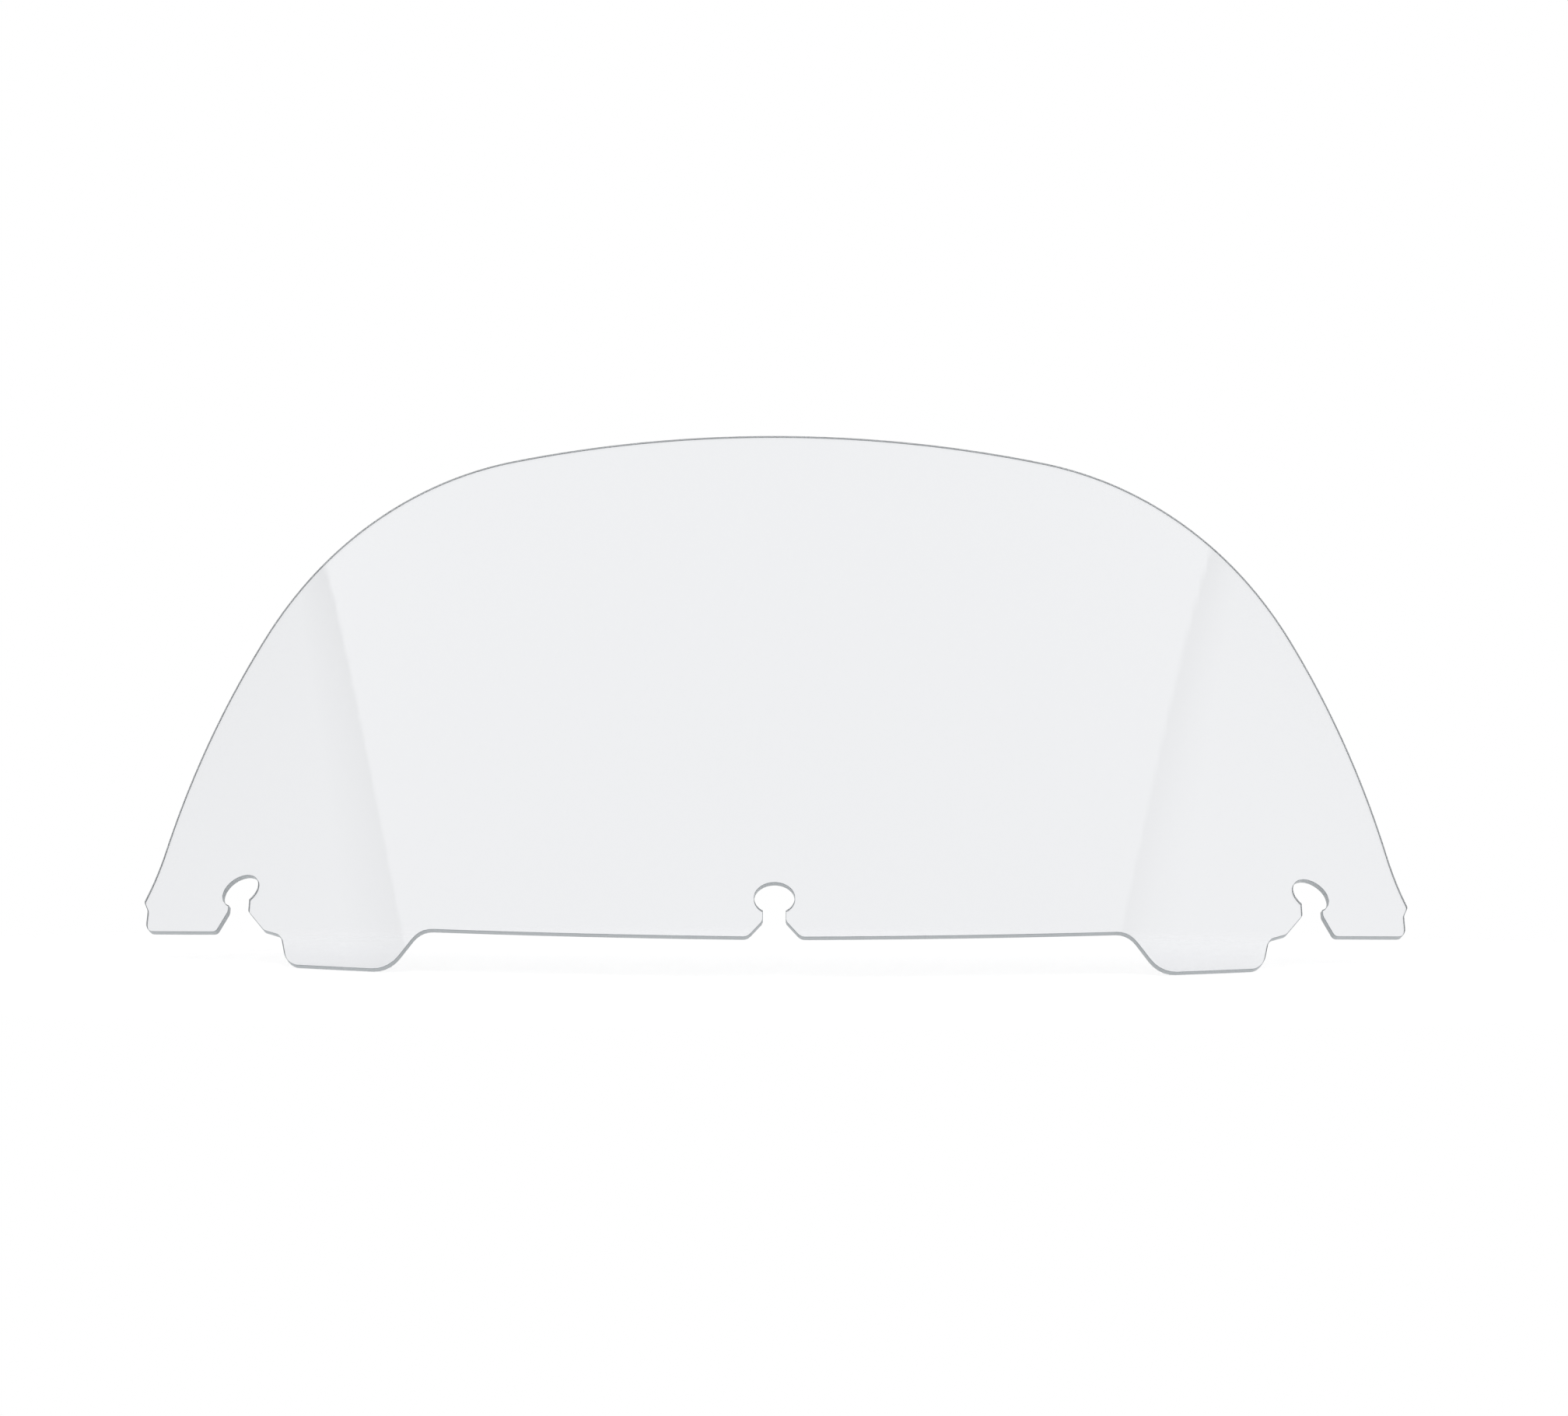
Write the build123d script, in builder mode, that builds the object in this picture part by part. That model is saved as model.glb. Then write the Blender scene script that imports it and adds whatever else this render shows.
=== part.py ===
"""Clear windshield screen for a fairing, in millimetres.

One heat-formed plastic sheet. The origin is the middle of the centre keyhole, halfway through the
sheet. +X is the screen's left-right direction, +Y runs back from the front face, and +Z is up.
"""

import os
from math import cos, hypot, radians, sin, sqrt, tan

from build123d import *

os.makedirs("parts", exist_ok=True)

# Sheet: a cone about an upright axis, raked back, with one soft bend on each side.
thickness = 2.4
rake = 45  # from upright, in degrees
plan_radius = 516  # of the front face, seen from above, at the keyholes' height
bend_x = 174  # where the bend crosses the keyholes' height
bend_spread = 0.31  # sideways run of the bend for each millimetre of height
bend_sweep = 0.10  # extra run back for each millimetre outside the bend
bend_softness = 6  # half-width of the bend

# Top edge, seen from the front: four arcs from the middle to the side tip.
top_z = 216.4
crown_radius, crown_arc = 680, 11.3
shoulder_radius, shoulder_arc = 183, 48.5
side_radius, side_arc = 393, 16.2
flare_radius, flare_arc = 126, 11.2
tip_radius = 0.8

# Bottom edge, seen from the front.
tip_undercut = 2.3
notch_z = -13.5
foot_outer_z, foot_inner_z = -22.8, -20.9
foot_inner_x = 267
shelf_inner_x, shelf_inner_z = 243, -19
shelf_outer_x, shelf_outer_z = 234.3, -20.8
lobe_z = -33.4
lobe_outer_x, lobe_inner_x = 230.5, 180.8
edge_outer_x, edge_outer_z, edge_inner_z = 166.5, -15.3, -16.2

# Keyholes: a round pocket, a neck and a funnel mouth, one in the middle and one on each side.
pocket_radius = 9.5
neck_half = 5.35
neck_bottom_z = -9.2
mouth_half = 12.4
side_x, side_z = 256.5, -2.1
side_neck_x = 256.7
side_neck_half = 5.05
side_neck_outer_z, side_neck_inner_z = -11.6, -11
unrounded = 0.01  # corner radius inside a pocket, which the pocket's bore takes away

# Blank: the front face is drawn this much larger than the screen, then trimmed to the outline.
blank_margin_below, blank_margin_above = 6, 12
blank_half_turn = radians(43)
grid_columns, grid_rows = 161, 41

# The origin is half a thickness behind the front face, on the middle pocket's axis.
front_y = -thickness / 2 / cos(radians(rake))
centre_z = thickness / 2 * sin(radians(rake))


def cone_radius(z):
    """Plan radius of the front face at a height: the cone narrows upwards, which rakes the face."""
    return plan_radius - z * tan(radians(rake))


def outside_bend(x, z):
    """Distance outside the bend line, negative on the centre panel."""
    return abs(x) - bend_x - bend_spread * z


def swept(x, z):
    """How far the side panel has bent back from the cone."""
    side = outside_bend(x, z)
    return bend_sweep * (side + hypot(side, bend_softness)) / 2


def front_point(turn, z):
    """Point of the front face at a turn about the cone's axis and a height."""
    x = cone_radius(z) * sin(turn)
    return Vector(x, front_y + plan_radius - cone_radius(z) * cos(turn) + swept(x, z), z)


def keyhole_plane(x, z):
    """Plane on the front face at a pocket's middle, its normal pointing out of the face."""
    along = sqrt(cone_radius(z) ** 2 - x**2)
    side = outside_bend(x, z)
    sweep = bend_sweep * (1 + side / hypot(side, bend_softness)) / 2
    side_sign = (x > 0) - (x < 0)
    slope_x = x / along + side_sign * sweep
    slope_z = tan(radians(rake)) * cone_radius(z) / along - bend_spread * sweep
    middle = Vector(x, front_y + plan_radius - along + swept(x, z), z)
    return Plane(origin=middle, x_dir=(1, slope_x, 0), z_dir=(slope_x, -1, slope_z))


# Front face of the blank, as one smooth surface through a grid of points.
low_z, high_z = lobe_z - blank_margin_below, top_z + blank_margin_above
turns = [blank_half_turn * (2 * i / (grid_columns - 1) - 1) for i in range(grid_columns)]
heights = [low_z + (high_z - low_z) * i / (grid_rows - 1) for i in range(grid_rows)]
grid = [[front_point(turn, z) for turn in turns] for z in heights]
blank = Face.make_surface_from_array_of_points(grid, tol=0.03, min_deg=3, max_deg=5)

# Outline, seen from the front: the right half, then its mirror.
with BuildSketch(Plane.XZ) as outline:
    with BuildLine():
        crown = JernArc((0, top_z), (1, 0), crown_radius, -crown_arc)
        shoulder = JernArc(crown @ 1, crown % 1, shoulder_radius, -shoulder_arc)
        side_edge = JernArc(shoulder @ 1, shoulder % 1, side_radius, -side_arc)
        flare = JernArc(side_edge @ 1, side_edge % 1, flare_radius, flare_arc)
        tip = flare @ 1
        foot_x = tip.X - tip_undercut
        neck_outer_x, neck_inner_x = side_neck_x + side_neck_half, side_neck_x - side_neck_half
        # Each corner of the bottom edge, from the tip to the middle: x, z and the corner's radius.
        corners = [
            (foot_x, notch_z, 2.5),
            (foot_x, foot_outer_z, 3.5),
            (foot_inner_x, foot_inner_z, 3),
            (neck_outer_x, side_neck_outer_z, 2),
            (neck_outer_x, side_z, unrounded),
            (neck_inner_x, side_z, unrounded),
            (neck_inner_x, side_neck_inner_z, 1.5),
            (shelf_inner_x, shelf_inner_z, 2),
            (shelf_outer_x, shelf_outer_z, 4),
            (lobe_outer_x, lobe_z, 7.5),
            (lobe_inner_x, lobe_z, 16),
            (edge_outer_x, edge_outer_z, 12),
            (mouth_half, edge_inner_z, 5),
            (neck_half, neck_bottom_z, 1.5),
        ]
        path = [(tip.X, tip.Y)] + [(x, z) for x, z, radius in corners] + [(neck_half, 0)]
        bottom = FilletPolyline(*path, radius=[radius for x, z, radius in corners])
        neck_top = Line(bottom @ 1, (0, 0))
        Line(neck_top @ 1, crown @ 0)
    make_face()
    fillet(outline.vertices().sort_by(Axis.X)[-1], radius=tip_radius)
    mirror(about=Plane.YZ)

column = extrude(outline.sketch, amount=2 * plan_radius, both=True)
front_face = (blank & column).face()

with BuildPart() as windshield_screen:
    # The edges are square to the sheet, so the trimmed face is thickened along its normals.
    thicken(front_face, amount=thickness, normal_override=(0, 1, 0))
    # The round pockets are bored square to the sheet where they are.
    for x, z in ((0, centre_z), (side_x, side_z), (-side_x, side_z)):
        with BuildSketch(keyhole_plane(x, z)):
            Circle(pocket_radius)
        extrude(amount=2 * thickness, both=True, mode=Mode.SUBTRACT)

windshield_screen.part.label = "windshield_screen"
export_step(windshield_screen.part, "parts/windshield_screen.step")

size = windshield_screen.part.bounding_box()
print("screen", size.min, size.max, "volume", round(windshield_screen.part.volume))
print("centre of mass", windshield_screen.part.center(CenterOf.MASS))
for x, z in ((0, centre_z), (side_x, side_z)):
    plane = keyhole_plane(x, z)
    print("keyhole", plane.origin - plane.z_dir * thickness / 2, "axis", plane.z_dir)
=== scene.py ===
# %% [markdown]
# # A clear windshield screen
#
# The real object is one sheet of clear polycarbonate. It was heated and formed to a raked, curved
# shape with a soft bend on each side, and its outline was cut with a router. Three keyholes along
# the bottom edge let it slide down over three screws in a fairing.
#
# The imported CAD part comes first. Its box is kept now, because the finished sheet has to fill the
# same space.

# %% Load the frame
from math import acos, atan2, ceil, cos, hypot, pi, radians, sin, sqrt, tan

import bmesh
import bpy
from mathutils import Matrix, Vector


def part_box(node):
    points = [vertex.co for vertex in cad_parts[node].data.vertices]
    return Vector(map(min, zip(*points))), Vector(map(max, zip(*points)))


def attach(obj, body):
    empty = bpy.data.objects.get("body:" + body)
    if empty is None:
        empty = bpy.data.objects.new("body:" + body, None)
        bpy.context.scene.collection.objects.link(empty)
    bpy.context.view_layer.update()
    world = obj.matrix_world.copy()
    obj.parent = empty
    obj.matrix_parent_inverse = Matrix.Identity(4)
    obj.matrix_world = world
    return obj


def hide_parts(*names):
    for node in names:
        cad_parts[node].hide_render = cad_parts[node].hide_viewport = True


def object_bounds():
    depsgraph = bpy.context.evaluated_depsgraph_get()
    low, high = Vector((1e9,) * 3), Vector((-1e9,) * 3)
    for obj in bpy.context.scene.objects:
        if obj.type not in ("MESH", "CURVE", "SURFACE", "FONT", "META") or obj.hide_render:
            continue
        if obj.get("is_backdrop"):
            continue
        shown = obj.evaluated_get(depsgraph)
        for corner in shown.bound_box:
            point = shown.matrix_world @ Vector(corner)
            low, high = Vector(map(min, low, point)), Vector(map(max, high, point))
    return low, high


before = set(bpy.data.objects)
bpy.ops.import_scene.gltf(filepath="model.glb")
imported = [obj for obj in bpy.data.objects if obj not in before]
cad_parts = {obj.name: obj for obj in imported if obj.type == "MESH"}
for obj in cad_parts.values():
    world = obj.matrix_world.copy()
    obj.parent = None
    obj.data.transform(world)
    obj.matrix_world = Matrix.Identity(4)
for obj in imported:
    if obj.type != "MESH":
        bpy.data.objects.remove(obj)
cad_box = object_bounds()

mm = 0.001
low_corner, high_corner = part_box("windshield_screen")
print("CAD sheet from", [round(v, 4) for v in low_corner], "to", [round(v, 4) for v in high_corner])

# %% [markdown]
# ## The form of the sheet
#
# Seen from above, the front face is an arc. Its radius shrinks by one millimetre for each
# millimetre of height, so the face is part of an upright cone and leans back 45 degrees all along.
# Outside two lines that spread upwards, the wings are bent back a little more. The bend is soft,
# because it was made with heat and not with a brake. A formula gives the depth of the face at any
# place, so every later step can ask it, and the mesh is exact however it is cut.

# %% Depth of the front face
thickness = 2.4 * mm
rake = radians(45)
plan_radius = 516 * mm
bend_x = 174 * mm
bend_spread = 0.31
bend_sweep = 0.10
bend_softness = 6 * mm
top_z = 216.4 * mm
front_y = -thickness / 2 / cos(rake)


def outside_bend(x, z):
    """Distance outside the bend line, negative on the centre panel."""
    return abs(x) - bend_x - bend_spread * z


def depth(x, z):
    """How far back the front face is at a place seen from the front."""
    radius = plan_radius - z * tan(rake)
    side = outside_bend(x, z)
    swept = bend_sweep * (side + hypot(side, bend_softness)) / 2
    return front_y + plan_radius - sqrt(radius**2 - x**2) + swept


def face_axes(x, z):
    """Across and up directions in the face at a place, square to each other."""
    reach = 0.1 * mm
    across = Vector((2 * reach, depth(x + reach, z) - depth(x - reach, z), 0)).normalized()
    rise = Vector((0, depth(x, z + reach) - depth(x, z - reach), 2 * reach)).normalized()
    outward = across.cross(rise).normalized()
    return across, outward.cross(across)


print("middle of the top edge is", round(depth(0, top_z) * 1000), "mm behind the keyhole")

# %% [markdown]
# ## The outline, as a router would follow it
#
# The outline is drawn flat, seen from the front, for the right half only. The top edge is four
# tangent arcs. The bottom edge is a run of corners, each with the radius that the cutter left.
# Two small helpers walk along an arc and round off a corner. Steps are short on tight corners and
# long on the wide arcs, so the points go where the shape needs them.

# %% Helpers that walk the outline
longest_step = 4 * mm
shortest_step = 0.8 * mm
widest_turn = radians(12)


def steps_for(radius, turn):
    """How many straight steps an arc gets."""
    length = radius * abs(turn)
    wanted = max(abs(turn) / widest_turn, length / longest_step)
    return max(1, min(ceil(wanted), round(length / shortest_step)))


def walk_arc(start, heading, radius, turn):
    """Points of an arc after its start, and the heading at its end. A positive turn goes left."""
    side = 1 if turn > 0 else -1
    centre = start + side * radius * Vector((-sin(heading), cos(heading)))
    count = steps_for(radius, turn)
    angles = [heading + turn * i / count for i in range(1, count + 1)]
    points = [centre + side * radius * Vector((sin(a), -cos(a))) for a in angles]
    return points, heading + turn


def round_corners(start, corners, end):
    """Straight lines from start to end, with each corner (x, z, radius) turned into an arc."""
    points = [start] + [Vector((x, z)) for x, z, radius in corners] + [end]
    radii = [radius for x, z, radius in corners]
    rounded = [start]
    for before, corner, after, radius in zip(points, points[1:], points[2:], radii):
        back, on = (before - corner).normalized(), (after - corner).normalized()
        half = back.angle(on) / 2
        centre = corner + (back + on).normalized() * radius / sin(half)
        first = (corner + back * radius / tan(half) - centre).normalized()
        last = (corner + on * radius / tan(half) - centre).normalized()
        count = steps_for(radius, pi - 2 * half)
        rounded += [centre + radius * first.slerp(last, i / count) for i in range(count + 1)]
    return rounded + [end]


# %% Top edge of the right half
# Each arc's radius in mm, and its turn in degrees.
top_arcs = [
    (680, -11.3),  # crown
    (183, -48.5),  # shoulder
    (393, -16.2),  # side
    (126, 11.2),  # flare towards the tip
]

top_edge, heading = [Vector((0, top_z))], 0.0
for radius, turn in top_arcs:
    arc, heading = walk_arc(top_edge[-1], heading, radius * mm, radians(turn))
    top_edge += arc
tip = top_edge.pop()
print("top edge", len(top_edge), "points, tip at", round(tip.x * 1000, 1), round(tip.y * 1000, 1))

# %% [markdown]
# ## The keyholes
#
# Each keyhole has a round pocket, a narrow neck and a mouth. The pocket is round in the plane of
# the sheet, so from the front it looks squashed, and near the wing tips it also looks turned. It
# is drawn with the two directions that lie in the face there. The walls of the neck are upright
# lines, and each meets the circle where the circle's own formula reaches the wall.

# %% Round pockets that meet their necks
pocket_radius = 9.5 * mm
centre_pocket = Vector((0, thickness / 2 * sin(rake)))
side_pocket = Vector((256.5 * mm, -2.1 * mm))
neck_half = 5.35 * mm
side_neck_x, side_neck_half = 256.7 * mm, 5.05 * mm
pocket_turn = radians(8)


def pocket_point(middle, angle):
    """A point of the pocket's edge, seen from the front."""
    across, up = face_axes(*middle)
    offset = pocket_radius * (cos(angle) * across + sin(angle) * up)
    return middle + Vector((offset.x, offset.z))


def wall_angle(middle, wall_x):
    """Where the lower part of the pocket's edge meets an upright wall."""
    across, up = face_axes(*middle)
    reach = hypot(across.x, up.x)
    swing = acos((wall_x - middle.x) / (pocket_radius * reach))
    lean = atan2(up.x, across.x)
    return min((lean - swing, lean + swing), key=lambda a: pocket_point(middle, a).y)


def pocket_arc(middle, first, last):
    """Points of the pocket's edge from one angle up and over to another."""
    count = ceil((last - first) / pocket_turn)
    return [pocket_point(middle, first + (last - first) * i / count) for i in range(count + 1)]


outer_wall, inner_wall = side_neck_x + side_neck_half, side_neck_x - side_neck_half
side_start = wall_angle(side_pocket, outer_wall)
side_end = wall_angle(side_pocket, inner_wall) % (2 * pi)
side_arc = pocket_arc(side_pocket, side_start, side_end)
centre_arc = pocket_arc(centre_pocket, wall_angle(centre_pocket, neck_half), pi / 2)
print("side pocket", len(side_arc), "points, half of the centre pocket", len(centre_arc))

# %% [markdown]
# ## The bottom edge
#
# From the wing tip inwards, the edge runs along a narrow foot, up to the side keyhole, over a short
# shelf, around the hanging lobe and along the middle edge to the centre keyhole. It could be drawn
# as one curve, but each corner is a real corner with the radius of the cutter's path, so it is a
# list of corners. The foot and the lobe are two runs, because the side pocket lies between them.

# %% Corners of the foot
foot_x = tip.x - 2.3 * mm
notch_z = -13.5 * mm
foot_outer_z, foot_inner_z = -22.8 * mm, -20.9 * mm
foot_inner_x = 267 * mm
side_neck_outer_z = -11.6 * mm
foot_corners = [
    (tip.x, tip.y, 0.8 * mm),
    (foot_x, notch_z, 2.5 * mm),
    (foot_x, foot_outer_z, 3.5 * mm),
    (foot_inner_x, foot_inner_z, 3 * mm),
    (outer_wall, side_neck_outer_z, 2 * mm),
]
foot = round_corners(top_edge[-1], foot_corners, side_arc[0])
print("foot", len(foot), "points,", round((foot_x - foot_inner_x) * 1000, 1), "mm wide")

# %% Corners of the lobe and the middle edge
side_neck_inner_z = -11 * mm
shelf_inner_x, shelf_inner_z = 243 * mm, -19 * mm
shelf_outer_x, shelf_outer_z = 234.3 * mm, -20.8 * mm
lobe_z = -33.4 * mm
lobe_outer_x, lobe_inner_x = 230.5 * mm, 180.8 * mm
edge_outer_x, edge_outer_z = 166.5 * mm, -15.3 * mm
mouth_half, edge_inner_z = 12.4 * mm, -16.2 * mm
neck_bottom_z = -9.2 * mm
lobe_corners = [
    (inner_wall, side_neck_inner_z, 1.5 * mm),
    (shelf_inner_x, shelf_inner_z, 2 * mm),
    (shelf_outer_x, shelf_outer_z, 4 * mm),
    (lobe_outer_x, lobe_z, 7.5 * mm),
    (lobe_inner_x, lobe_z, 16 * mm),
    (edge_outer_x, edge_outer_z, 12 * mm),
    (mouth_half, edge_inner_z, 5 * mm),
    (neck_half, neck_bottom_z, 1.5 * mm),
]
lobe = round_corners(side_arc[-1], lobe_corners, centre_arc[0])
print("lobe and middle edge", len(lobe), "points")

# %% The whole outline
right_half = top_edge + foot[1:-1] + side_arc + lobe[1:-1] + centre_arc
left_half = [Vector((-p.x, p.y)) for p in reversed(right_half[1:-1])]
outline = right_half + left_half
print("outline", len(outline), "points,", round(max(p.x for p in outline) * 2000, 1), "mm wide")

# %% [markdown]
# ## From a flat blank to the formed front face
#
# A single face fills the outline. Knife cuts divide it into small panels, close together along
# the bends where the form turns fastest, because a smooth reflection needs small faces there.
# Then each point moves back to its place on the formed face. Each point of the edge also keeps its
# distance along the outline, which a material uses later for the marks that the router left.

# %% The blank, with its distance along the outline
blank = bmesh.new()
run_layer = blank.verts.layers.float.new("edge_run")
run, last_point = 0.0, outline[0]
for point in outline:
    corner = blank.verts.new((point.x, 0, point.y))
    run += (point - last_point).length
    corner[run_layer] = run
    last_point = point
blank.faces.new(blank.verts)
print("blank with about", round(run * 1000), "mm of edge")

# %% Knife cuts
panel = 5 * mm
bend_cut = 2 * mm
bend_cuts = 6  # on each side of a bend line
snap = 0.4 * mm  # a cut this near a point goes through the point


def cut(place, normal):
    """One knife cut right across the blank."""
    everything = blank.verts[:] + blank.edges[:] + blank.faces[:]
    bmesh.ops.bisect_plane(blank, geom=everything, plane_co=place, plane_no=normal, dist=snap)


half_width = max(p.x for p in outline)
bottom_z = min(p.y for p in outline)
for side in (-1, 1):
    for i in range(-bend_cuts, bend_cuts + 1):
        cut((side * (bend_x + i * bend_cut), 0, 0), (1, 0, -side * bend_spread))
for i in range(-int(half_width / panel), int(half_width / panel) + 1):
    cut((i * panel, 0, 0), (1, 0, 0))
for i in range(int(bottom_z / panel), int(top_z / panel) + 1):
    cut((0, 0, i * panel), (0, 0, 1))
print("cut into", len(blank.faces), "panels")

# %% The formed face
for corner in blank.verts:
    corner.co.y = depth(corner.co.x, corner.co.z)
blank.normal_update()
if sum(face.normal.y * face.calc_area() for face in blank.faces) > 0:
    bmesh.ops.reverse_faces(blank, faces=blank.faces[:])
for face in blank.faces:
    face.smooth = True
deepest = max(corner.co.y for corner in blank.verts)
print("the formed face reaches", round(deepest * 1000, 1), "mm back")

# %% [markdown]
# ## Thickness and broken edges
#
# The mesh is only the front face. Solidify gives it the thickness of the sheet, behind the face
# and square to it, and puts the second material on the cut edge. Bevel then breaks the sharp
# arrises by a fifth of a millimetre, as a scraper does after routing. Both stay live, so the
# thickness can still be changed.

# %% The sheet as a piece
sheet_mesh = bpy.data.meshes.new("windshield_sheet")
blank.to_mesh(sheet_mesh)
blank.free()
sheet = bpy.data.objects.new("windshield_sheet", sheet_mesh)
bpy.context.scene.collection.objects.link(sheet)

wall = sheet.modifiers.new("sheet thickness", "SOLIDIFY")
wall.thickness = thickness
wall.offset = -1
wall.use_even_offset = True
wall.material_offset_rim = 1
arris = sheet.modifiers.new("broken arris", "BEVEL")
arris.width = 0.2 * mm
arris.segments = 2
arris.limit_method = "ANGLE"
arris.angle_limit = radians(40)
arris.use_clamp_overlap = False
arris.harden_normals = True
arris.material = 2

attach(sheet, "root")
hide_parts("windshield_screen")

finished = sheet.evaluated_get(bpy.context.evaluated_depsgraph_get()).to_mesh()
print("finished sheet", len(finished.vertices), "vertices,", len(finished.polygons), "faces")

# %% [markdown]
# ## Materials: how they are written
#
# One function turns a colour as a designer writes it, in sRGB, into the linear values that the
# renderer uses. Another adds a node with its settings and its links, so a material reads as a
# short list.

# %% Colour and node helpers
def linear(hex_colour):
    """sRGB hex to linear RGBA."""
    channels = [int(hex_colour[i : i + 2], 16) / 255 for i in (1, 3, 5)]
    return [c / 12.92 if c <= 0.04045 else ((c + 0.055) / 1.055) ** 2.4 for c in channels] + [1]


def add_node(tree, kind, settings=None, **inputs):
    """Adds a node. An input is a value, or another node's output to link.

    Inputs go by name, as in From_Min. Where a node repeats a name, they go by place, as in _1.
    """
    node = tree.nodes.new(kind)
    for name, value in (settings or {}).items():
        setattr(node, name, value)
    for name, value in inputs.items():
        socket = node.inputs[int(name[1:]) if name[0] == "_" else name.replace("_", " ")]
        if isinstance(value, bpy.types.NodeSocket):
            tree.links.new(value, socket)
        else:
            socket.default_value = value
    return node


def new_material(name):
    """An empty node material, with its output node."""
    material = bpy.data.materials.new(name)
    material.use_nodes = True
    material.node_tree.nodes.clear()
    return material, material.node_tree, add_node(material.node_tree, "ShaderNodeOutputMaterial")


# %% [markdown]
# ## Clear polycarbonate
#
# Polycarbonate bends light more than window glass: its index of refraction is 1.585. So each
# polished face mirrors about a twentieth of the light, and more where the face turns away. The
# sheet passes nearly all the rest, with a faint cool grey. Two things keep it from looking like a
# computer's glass. Heat forming leaves the faces wavy over a few centimetres, by hundredths of a
# millimetre, and wiping leaves patches where the polish is a little less sharp.

# %% Faces: clear polycarbonate, formed and polished
polycarbonate_ior = 1.585
wave_length, wave_depth = 60 * mm, 0.03 * mm
wipe_size = 25 * mm
wipe_low, wipe_high = 0.35, 0.75  # the polish changes between these values of the wipes
sharp_polish, soft_polish = 0.0, 0.03
clear, tree, output = new_material("clear_polycarbonate_formed")
place = add_node(tree, "ShaderNodeTexCoord").outputs["Object"]
waves = add_node(tree, "ShaderNodeTexNoise", Vector=place, Scale=1 / wave_length, Detail=1.0)
wipes = add_node(tree, "ShaderNodeTexNoise", Vector=place, Scale=1 / wipe_size, Detail=6.0)
polish = add_node(
    tree,
    "ShaderNodeMapRange",
    Value=wipes.outputs["Fac"],
    From_Min=wipe_low,
    From_Max=wipe_high,
    To_Min=sharp_polish,
    To_Max=soft_polish,
)
relief = add_node(
    tree, "ShaderNodeBump", Strength=1.0, Distance=wave_depth, Height=waves.outputs["Fac"]
)
body = add_node(
    tree,
    "ShaderNodeBsdfPrincipled",
    Base_Color=linear("#F1F2F4"),
    IOR=polycarbonate_ior,
    Transmission_Weight=1.0,
    Roughness=polish.outputs["Result"],
    Normal=relief.outputs["Normal"],
)
tree.links.new(body.outputs["BSDF"], output.inputs["Surface"])
sheet.data.materials.append(clear)
print("faces wave over", round(wave_length * 1000), "mm, polish from", sharp_polish, "to", soft_polish)

# %% [markdown]
# ## The routed edge
#
# A router leaves polycarbonate frosted: the cut is full of fine ridges across the sheet, one for
# each tooth of the cutter, about half a millimetre apart. Light that comes along inside the sheet
# scatters there. The grey of the edge's colour is painted shade: it makes the edge darker, as a dim
# studio around it would. The ridges are drawn 1.6 mm apart, because finer ones wouldn't show at
# this distance.

# %% Relief of the routed edge: ridges and grit
ridge_spacing, ridge_weight = 1.6 * mm, 0.3  # the weight is beside a weight of 1 for the grit
grit_size, cut_depth = 1.5 * mm, 0.1 * mm
routed, tree, output = new_material("routed_edge_frost_and_painted_shade")
along = add_node(tree, "ShaderNodeAttribute", {"attribute_name": "edge_run"}).outputs["Fac"]
place = add_node(tree, "ShaderNodeTexCoord").outputs["Object"]
turns = add_node(
    tree, "ShaderNodeMath", {"operation": "MULTIPLY"}, _0=along, _1=2 * pi / ridge_spacing
)
ridges = add_node(tree, "ShaderNodeMath", {"operation": "SINE"}, _0=turns.outputs["Value"])
grit = add_node(tree, "ShaderNodeTexNoise", Vector=place, Scale=1 / grit_size, Detail=4.0)
height = add_node(
    tree,
    "ShaderNodeMath",
    {"operation": "MULTIPLY_ADD"},
    _0=ridges.outputs["Value"],
    _1=ridge_weight,
    _2=grit.outputs["Fac"],
)
relief = add_node(
    tree, "ShaderNodeBump", Strength=0.5, Distance=cut_depth, Height=height.outputs["Value"]
)
print("ridges", round(ridge_spacing * 1000, 1), "mm apart on the routed edge")

# %% Edge: routed polycarbonate, frosted, its grey painted shade
grit_low, grit_high = 0.3, 0.7  # the frost changes between these values of the grit
light_frost, heavy_frost = 0.35, 0.55
frost = add_node(
    tree,
    "ShaderNodeMapRange",
    Value=grit.outputs["Fac"],
    From_Min=grit_low,
    From_Max=grit_high,
    To_Min=light_frost,
    To_Max=heavy_frost,
)
body = add_node(
    tree,
    "ShaderNodeBsdfPrincipled",
    # painted shade: this grey colour darkens the frosted edge as a dim studio around it would
    Base_Color=linear("#C4C9CC"),
    IOR=polycarbonate_ior,
    Transmission_Weight=0.35,
    Roughness=frost.outputs["Result"],
    Normal=relief.outputs["Normal"],
)
tree.links.new(body.outputs["BSDF"], output.inputs["Surface"])
sheet.data.materials.append(routed)
print("edge frosted to a roughness of", light_frost, "to", heavy_frost)
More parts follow.
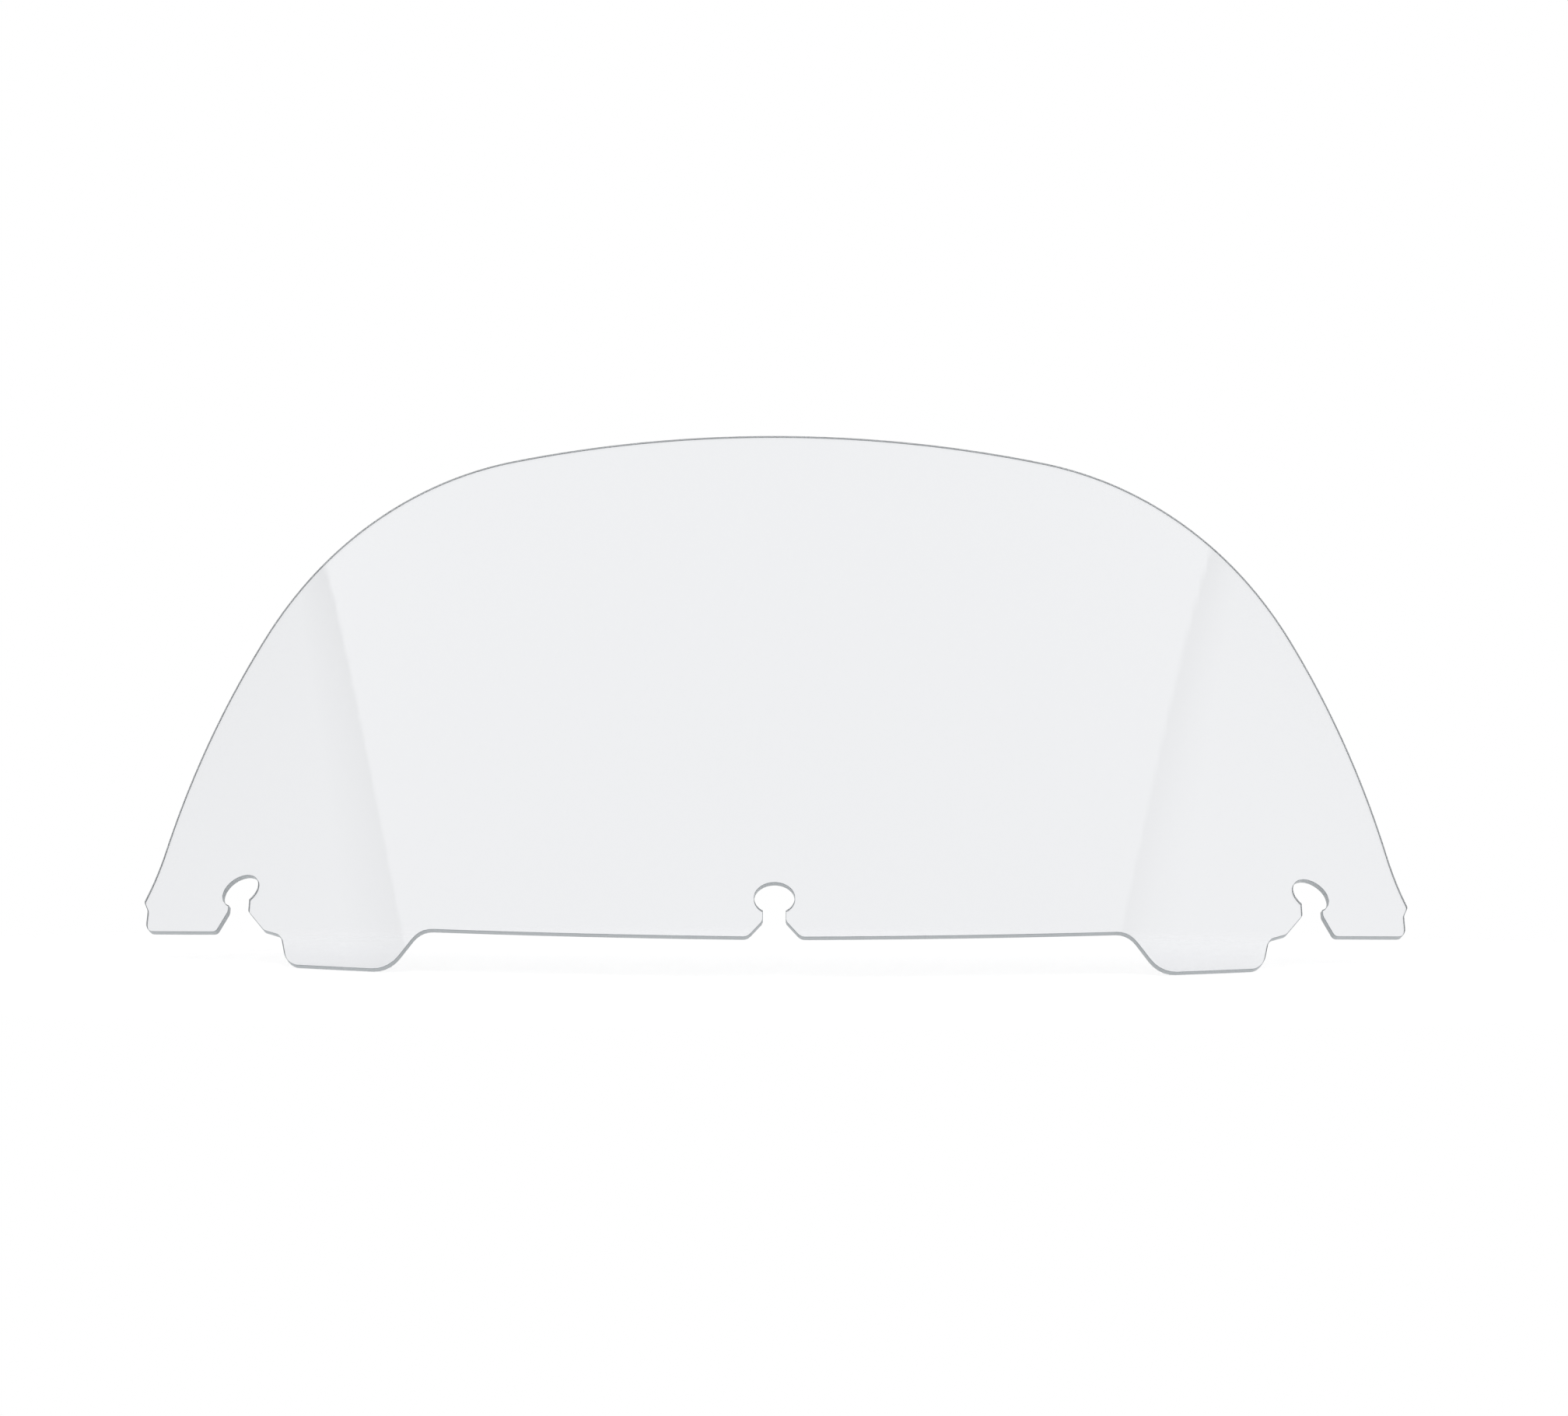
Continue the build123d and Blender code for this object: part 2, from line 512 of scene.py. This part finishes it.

# %% [markdown]
# ## The scraped arris
# After routing, the two sharp corners of the edge are scraped, so that they don't cut a hand or
# start a crack. The scraper leaves a narrow, dull facet that follows the whole outline. Its dark grey
# colour is painted shade, for the little of the studio that the facet catches as it turns away from
# both faces. It reads as a thin grey line, and that line is what shows the shape of a clear sheet.
# Its grey changes a little along the outline, as the scraper's strokes do. Each stroke is about a
# centimetre long.

# %% Arris: scraped polycarbonate, its grey painted shade
scraped, tree, output = new_material("scraped_arris_painted_shade")
stroke_length = 11 * mm
along = add_node(tree, "ShaderNodeAttribute", {"attribute_name": "edge_run"}).outputs["Fac"]
strokes = add_node(
    tree, "ShaderNodeTexNoise", {"noise_dimensions": "1D"}, W=along, Scale=1 / stroke_length
)
# painted shade: the two greys that the strokes mix stand in for the little light the facet catches
shade = add_node(
    tree,
    "ShaderNodeMix",
    {"data_type": "RGBA"},
    _0=strokes.outputs["Fac"],
    _6=linear("#8E9498"),
    _7=linear("#A9AFB3"),
)
body = add_node(
    tree,
    "ShaderNodeBsdfPrincipled",
    Base_Color=shade.outputs[2],
    IOR=polycarbonate_ior,
    Transmission_Weight=0.2,
    Roughness=0.35,
)
tree.links.new(body.outputs["BSDF"], output.inputs["Surface"])
sheet.data.materials.append(scraped)
print("the sheet's materials:", ", ".join(m.name for m in sheet.data.materials))

# %% [markdown]
# ## A white studio
#
# A clear sheet shows only what it mirrors and bends, so the studio is half of its looks. The
# horizon is white all round. The ceiling is darker, because a white one would fill in everything
# that the faces fail to pass, and the sheet would vanish. The change from one to the other is slow,
# so that it leaves no line in the faces.

# %% World: white horizon under a grey ceiling
world = bpy.data.worlds.new("studio")
bpy.context.scene.world = world
world.use_nodes = True
tree = world.node_tree
tree.nodes.clear()
way = add_node(tree, "ShaderNodeTexCoord").outputs["Generated"]
height = add_node(tree, "ShaderNodeSeparateXYZ", _0=way).outputs["Z"]
horizon_top, ceiling_start = sin(radians(12)), sin(radians(44))
horizon_light, ceiling_light = 1.0, 0.38
sky = add_node(
    tree,
    "ShaderNodeMapRange",
    {"interpolation_type": "SMOOTHSTEP"},
    Value=height,
    From_Min=horizon_top,
    From_Max=ceiling_start,
    To_Min=horizon_light,
    To_Max=ceiling_light,
)
light = add_node(tree, "ShaderNodeBackground", Color=linear("#FFFFFF"), Strength=sky.outputs["Result"])
add_node(tree, "ShaderNodeOutputWorld", Surface=light.outputs["Background"])
print("horizon", horizon_light, "and ceiling", ceiling_light)

# %% [markdown]
# ## A pale floor that fades away
#
# The lobes of the screen stand just above a pale floor. A floor that ended in a line would show
# through the clear sheet as a streak, so this one fades into the white horizon over an oval a
# little wider than the screen. The floor also glows, by just enough to be as bright as the horizon
# where it is lit. Without that, the lower part of the sheet would be a different grey.

# %% Floor disc
floor_gap = 0.2 * mm
floor_z = low_corner.z - floor_gap
floor_radius = 0.7
floor_mesh = bpy.data.meshes.new("studio_floor")
disc = bmesh.new()
bmesh.ops.create_circle(disc, cap_ends=True, segments=128, radius=floor_radius)
disc.transform(Matrix.Translation((0, 0, floor_z)))
disc.to_mesh(floor_mesh)
disc.free()
floor = bpy.data.objects.new("studio_floor", floor_mesh)
bpy.context.scene.collection.objects.link(floor)
floor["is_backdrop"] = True
print("floor", round(floor_z * 1000, 1), "mm below the middle keyhole")

# %% Fade of the floor into the horizon
pale, tree, output = new_material("pale_studio_floor")
oval_half_x, oval_half_y = 0.62, 0.30
fade_start, fade_stop = 0.4, 1.0  # as shares of the oval
place = add_node(tree, "ShaderNodeTexCoord").outputs["Object"]
oval = add_node(
    tree,
    "ShaderNodeVectorMath",
    {"operation": "DIVIDE"},
    _0=place,
    _1=(oval_half_x, oval_half_y, 1),
).outputs["Vector"]
far = add_node(tree, "ShaderNodeVectorMath", {"operation": "LENGTH"}, _0=oval).outputs["Value"]
fade = add_node(
    tree,
    "ShaderNodeMapRange",
    {"interpolation_type": "SMOOTHSTEP"},
    Value=far,
    From_Min=fade_start,
    From_Max=fade_stop,
    To_Min=0.0,
    To_Max=1.0,
)
print("floor fades out", oval_half_x, "m to each side")

# %% Floor: matt paint, lit from within
floor_glow = 0.67
paint = add_node(
    tree,
    "ShaderNodeBsdfPrincipled",
    Base_Color=linear("#C8C8C8"),
    Roughness=0.9,
    Specular_IOR_Level=0.0,
    Emission_Color=linear("#FFFFFF"),
    Emission_Strength=floor_glow,
)
open_air = add_node(tree, "ShaderNodeBsdfTransparent")
blend = add_node(
    tree,
    "ShaderNodeMixShader",
    _0=fade.outputs["Result"],
    _1=paint.outputs["BSDF"],
    _2=open_air.outputs["BSDF"],
)
tree.links.new(blend.outputs["Shader"], output.inputs["Surface"])
floor.data.materials.append(pale)
print("floor glows at", floor_glow)

# %% [markdown]
# ## The overhead diffuser
#
# The face leans back 45 degrees, so it mirrors what is straight overhead. A glowing panel hangs
# there, out of the camera's sight. Its middle gives the centre of the screen an even sheen. Past
# its slanting sides it is dim, and that is what the wings mirror just outside each bend, so the
# bend shows as a crisp change of tone that fades outwards. Several lamps could do this too, but one
# panel with a painted glow is simpler to set.

# %% Panel of the overhead diffuser
diffuser_z = 0.6
panel_half_x, panel_front, panel_back = 1, -0.5, 1.4
corners = [
    (-panel_half_x, panel_front),
    (-panel_half_x, panel_back),
    (panel_half_x, panel_back),
    (panel_half_x, panel_front),
]
diffuser_mesh = bpy.data.meshes.new("overhead_diffuser")
sheet_of_light = bmesh.new()
sheet_of_light.faces.new([sheet_of_light.verts.new((x, y, diffuser_z)) for x, y in corners])
sheet_of_light.to_mesh(diffuser_mesh)
sheet_of_light.free()
diffuser = bpy.data.objects.new("overhead_diffuser", diffuser_mesh)
bpy.context.scene.collection.objects.link(diffuser)
diffuser.visible_camera = False
diffuser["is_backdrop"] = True
print("diffuser", diffuser_z, "m up")

# %% [markdown]
# ## Where the bright middle of the diffuser ends
#
# Each bend line of the screen mirrors a slanting line on the panel. The bright middle ends close to
# those two lines, so its width grows towards the back. It hangs a little to the left of the middle,
# so on the right the change of tone falls a little inside the bend. A value that is negative inside
# and positive outside, in metres, is all that the glow needs to know.

# %% Distance past the sides of the bright middle
glow, tree, output = new_material("glowing_diffuser")
middle_x, middle_turn = -0.045, 0.033  # its centre line, and how far that turns for each metre
middle_half, side_slant = 0.444, 0.2625  # its half-width, and the growth of that for each metre
place = add_node(tree, "ShaderNodeTexCoord").outputs["Object"]
x, y = add_node(tree, "ShaderNodeSeparateXYZ", _0=place).outputs[:2]
edge = add_node(
    tree, "ShaderNodeMath", {"operation": "MULTIPLY_ADD"}, _0=y, _1=side_slant, _2=middle_half
)
centre_line = add_node(
    tree, "ShaderNodeMath", {"operation": "MULTIPLY_ADD"}, _0=y, _1=middle_turn, _2=middle_x
)
aside = add_node(
    tree, "ShaderNodeMath", {"operation": "SUBTRACT"}, _0=x, _1=centre_line.outputs["Value"]
)
away = add_node(tree, "ShaderNodeMath", {"operation": "ABSOLUTE"}, _0=aside.outputs["Value"])
past = add_node(
    tree,
    "ShaderNodeMath",
    {"operation": "SUBTRACT"},
    _0=away.outputs["Value"],
    _1=edge.outputs["Value"],
)
print("bright middle", round(2 * middle_half, 3), "m wide above the keyholes")

# %% [markdown]
# ## The dim sides of the diffuser
#
# Just past the bright middle the panel is at its dimmest, and it recovers outwards. The left side
# is dimmer than the right, as it is in a studio with a window or a larger lamp on the right. The
# recovery is quicker towards the back, which makes the dim bands narrower towards the top of the
# screen.

# %% Values that change from the left side to the right
blend_left, blend_right = -0.5, 0.5
left_and_right = {
    "recovered glow": (0.66, 0.80),
    "dimmest glow": (0.28, 0.45),
    "recovery": (0.08, 0.13),  # metres from the dimmest to the recovered, above the keyholes
}
side_value = {}
for name, (on_left, on_right) in left_and_right.items():
    change = add_node(
        tree,
        "ShaderNodeMapRange",
        Value=x,
        From_Min=blend_left,
        From_Max=blend_right,
        To_Min=on_left,
        To_Max=on_right,
    )
    side_value[name] = change.outputs["Result"]
    print(name, "is", on_left, "on the left and", on_right, "on the right")

# %% Glow of the two sides
narrow_back, narrow_share = 0.8, 0.2  # how far back the recovery is quickest, and its share there
narrowing = add_node(
    tree,
    "ShaderNodeMapRange",
    Value=y,
    From_Min=0.0,
    From_Max=narrow_back,
    To_Min=1.0,
    To_Max=narrow_share,
)
recovered_at = add_node(
    tree,
    "ShaderNodeMath",
    {"operation": "MULTIPLY"},
    _0=side_value["recovery"],
    _1=narrowing.outputs["Result"],
)
side_glow = add_node(
    tree,
    "ShaderNodeMapRange",
    Value=past.outputs["Value"],
    From_Min=0.0,
    From_Max=recovered_at.outputs["Value"],
    To_Min=side_value["dimmest glow"],
    To_Max=side_value["recovered glow"],
)
print("the recovery shortens to", narrow_share, "of that,", narrow_back, "m back")

# %% [markdown]
# ## The middle of the diffuser, and the whole glow
#
# The middle is a little brighter towards the back, because the top of the screen mirrors that part
# and has to look as bright as the bottom. The change from the middle to the sides takes a few
# millimetres, like the frame of a real softbox, so the tone line at the bend is crisp but not hard.

# %% Glow of the middle, and the finished diffuser
middle_front, middle_back, middle_depth = 0.745, 0.96, 0.6
frame_half = 0.004
inside = add_node(
    tree,
    "ShaderNodeMapRange",
    Value=past.outputs["Value"],
    From_Min=-frame_half,
    From_Max=frame_half,
    To_Min=1.0,
    To_Max=0.0,
)
middle_glow = add_node(
    tree,
    "ShaderNodeMapRange",
    Value=y,
    From_Min=0.0,
    From_Max=middle_depth,
    To_Min=middle_front,
    To_Max=middle_back,
)
strength = add_node(
    tree,
    "ShaderNodeMix",
    {"data_type": "FLOAT"},
    _0=inside.outputs["Result"],
    _2=side_glow.outputs["Result"],
    _3=middle_glow.outputs["Result"],
)
lamp = add_node(
    tree, "ShaderNodeEmission", Color=linear("#FFFFFF"), Strength=strength.outputs["Result"]
)
tree.links.new(lamp.outputs["Emission"], output.inputs["Surface"])
diffuser.data.materials.append(glow)
print("middle glows from", middle_front, "at the front to", middle_back, "at the back")

# %% [markdown]
# ## Camera
#
# A long lens from three metres keeps the sides nearly square on. The camera stands a little above
# the middle of the screen and looks slightly down.

# %% Camera and view
aim = Vector((4.3 * mm, -35.1 * mm, 91.2 * mm))
stand = Vector((18.9 * mm, -3032.2 * mm, 222.1 * mm))
lens_data = bpy.data.cameras.new("camera")
lens_data.sensor_width = 36  # in mm, as the lens is
lens_data.lens = 149.1
roll = radians(0.22)
camera = bpy.data.objects.new("camera", lens_data)
bpy.context.scene.collection.objects.link(camera)
look = (aim - stand).to_track_quat("-Z", "Y").to_matrix().to_4x4()
camera.matrix_world = Matrix.Translation(stand) @ look @ Matrix.Rotation(roll, 4, "Z")
bpy.context.scene.camera = camera
bpy.context.scene.view_settings.view_transform = "Standard"
print("camera", round((aim - stand).length, 3), "m from its aim")

# %% [markdown]
# ## The two boxes
#
# The sheet has to fill the CAD part's box and no more, so both boxes are written down.

# %% Sizes and finish
visual_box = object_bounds()
boxes = {"cad": [list(v) for v in cad_box], "visual": [list(v) for v in visual_box]}
for name, (low, high) in boxes.items():
    print(name, "box", [round(v, 4) for v in low], [round(v, 4) for v in high])
